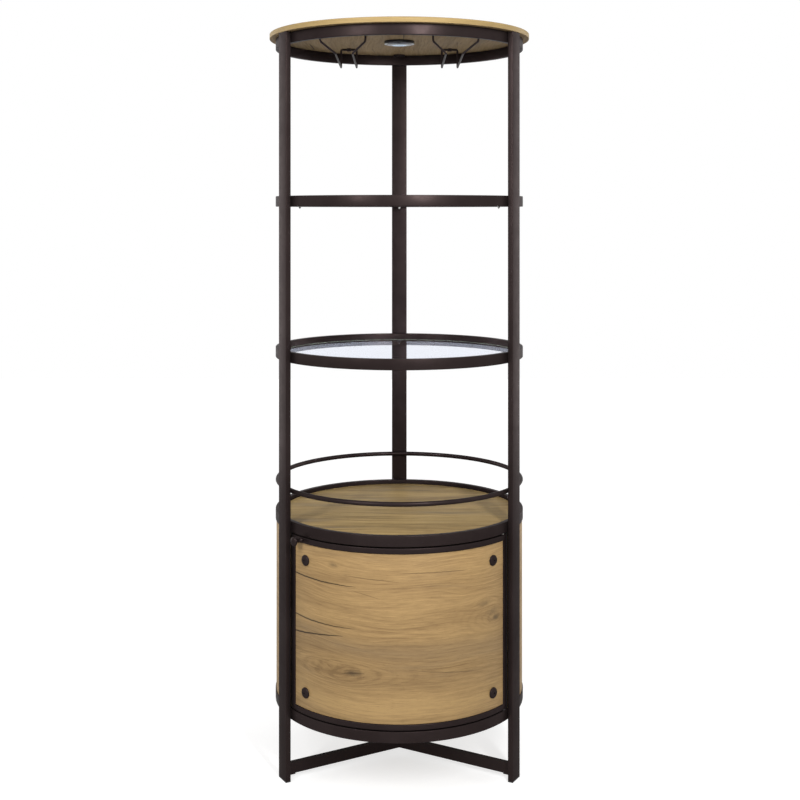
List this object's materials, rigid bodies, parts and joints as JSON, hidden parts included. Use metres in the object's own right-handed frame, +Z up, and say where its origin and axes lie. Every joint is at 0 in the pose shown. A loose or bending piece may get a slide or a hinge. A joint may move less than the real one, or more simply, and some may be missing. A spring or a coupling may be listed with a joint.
{
  "type": "round wine cabinet",
  "caption": "Tall round open cabinet on slim metal legs with glass shelves, hanging stemware racks, a small lamp and a closed drum with a curved hinged door.",
  "frame": {"origin": "on the floor, on the axis of the rings", "axes": "+Z up; -Y is the front, where the door is; +X is the right-hand side seen from the front"},
  "size_m": [0.64, 0.64, 1.773],
  "materials": {
    "bronze_paint": "satin dark bronze powder coat",
    "oak_laminate": "rustic honey oak laminate with dark cracks",
    "clear_glass": "clear, polished edge",
    "soft_plastic": "soft, milky",
    "black_plastic": "fine matte",
    "bright_steel": "zinc plated",
    "lamp_lens": "frosted, lit",
    "lamp_board": "white solder mask"
  },
  "bodies": {
    "cabinet": {"top_panel": "oak_laminate", "drum_top_panel": "oak_laminate", "drum_floor_panel": "oak_laminate", "side_panel_left": "oak_laminate", "side_panel_right": "oak_laminate", "top_ring": "bronze_paint", "shelf_ring_upper": "bronze_paint", "shelf_ring_lower": "bronze_paint", "drum_top_ring": "bronze_paint", "drum_bottom_ring": "bronze_paint", "leg_left": "bronze_paint", "leg_right": "bronze_paint", "leg_back": "bronze_paint", "base_brace": "bronze_paint", "gallery_rail": "bronze_paint", "stemware_rack_left": "bronze_paint", "stemware_rack_right": "bronze_paint", "rack_clip_left": "bronze_paint", "rack_clip_right": "bronze_paint", "glass_shelf_upper": "clear_glass", "glass_shelf_lower": "clear_glass", "shelf_bumper_upper_left": "soft_plastic", "shelf_bumper_upper_right": "soft_plastic", "shelf_bumper_upper_back": "soft_plastic", "shelf_bumper_lower_left": "soft_plastic", "shelf_bumper_lower_right": "soft_plastic", "shelf_bumper_lower_back": "soft_plastic", "foot_glide_left": "black_plastic", "foot_glide_right": "black_plastic", "foot_glide_back": "black_plastic", "hinge_washer": "black_plastic", "catch_body": "black_plastic", "lamp_bezel": "black_plastic", "lamp_base": "black_plastic", "hinge_pin_top": "bright_steel", "hinge_pin_bottom": "bright_steel", "catch_magnet": "bright_steel", "lamp_board": "lamp_board"},
    "door": {"door_frame": "bronze_paint", "door_panel": "oak_laminate", "door_knob": "bronze_paint", "catch_strike": "bright_steel", "door_bolt_bottom_left": "bronze_paint", "door_bolt_top_left": "bronze_paint", "door_bolt_bottom_right": "bronze_paint", "door_bolt_top_right": "bronze_paint"},
    "lens": {"lamp_lens": "lamp_lens"}
  },
  "joints": [
    {"name": "door_hinge", "type": "hinge", "parent": "cabinet", "child": "door", "pos_m": [0.24215, -0.17481, 0.37875], "axis": [0, 0, 1], "range_deg": [0, 105]},
    {"name": "lamp_push", "type": "slide", "parent": "cabinet", "child": "lens", "axis": [0, 0, 1], "range_m": [0, 0.0015], "stiffness_N_per_m": 400, "springref_m": -0.002}
  ]
}
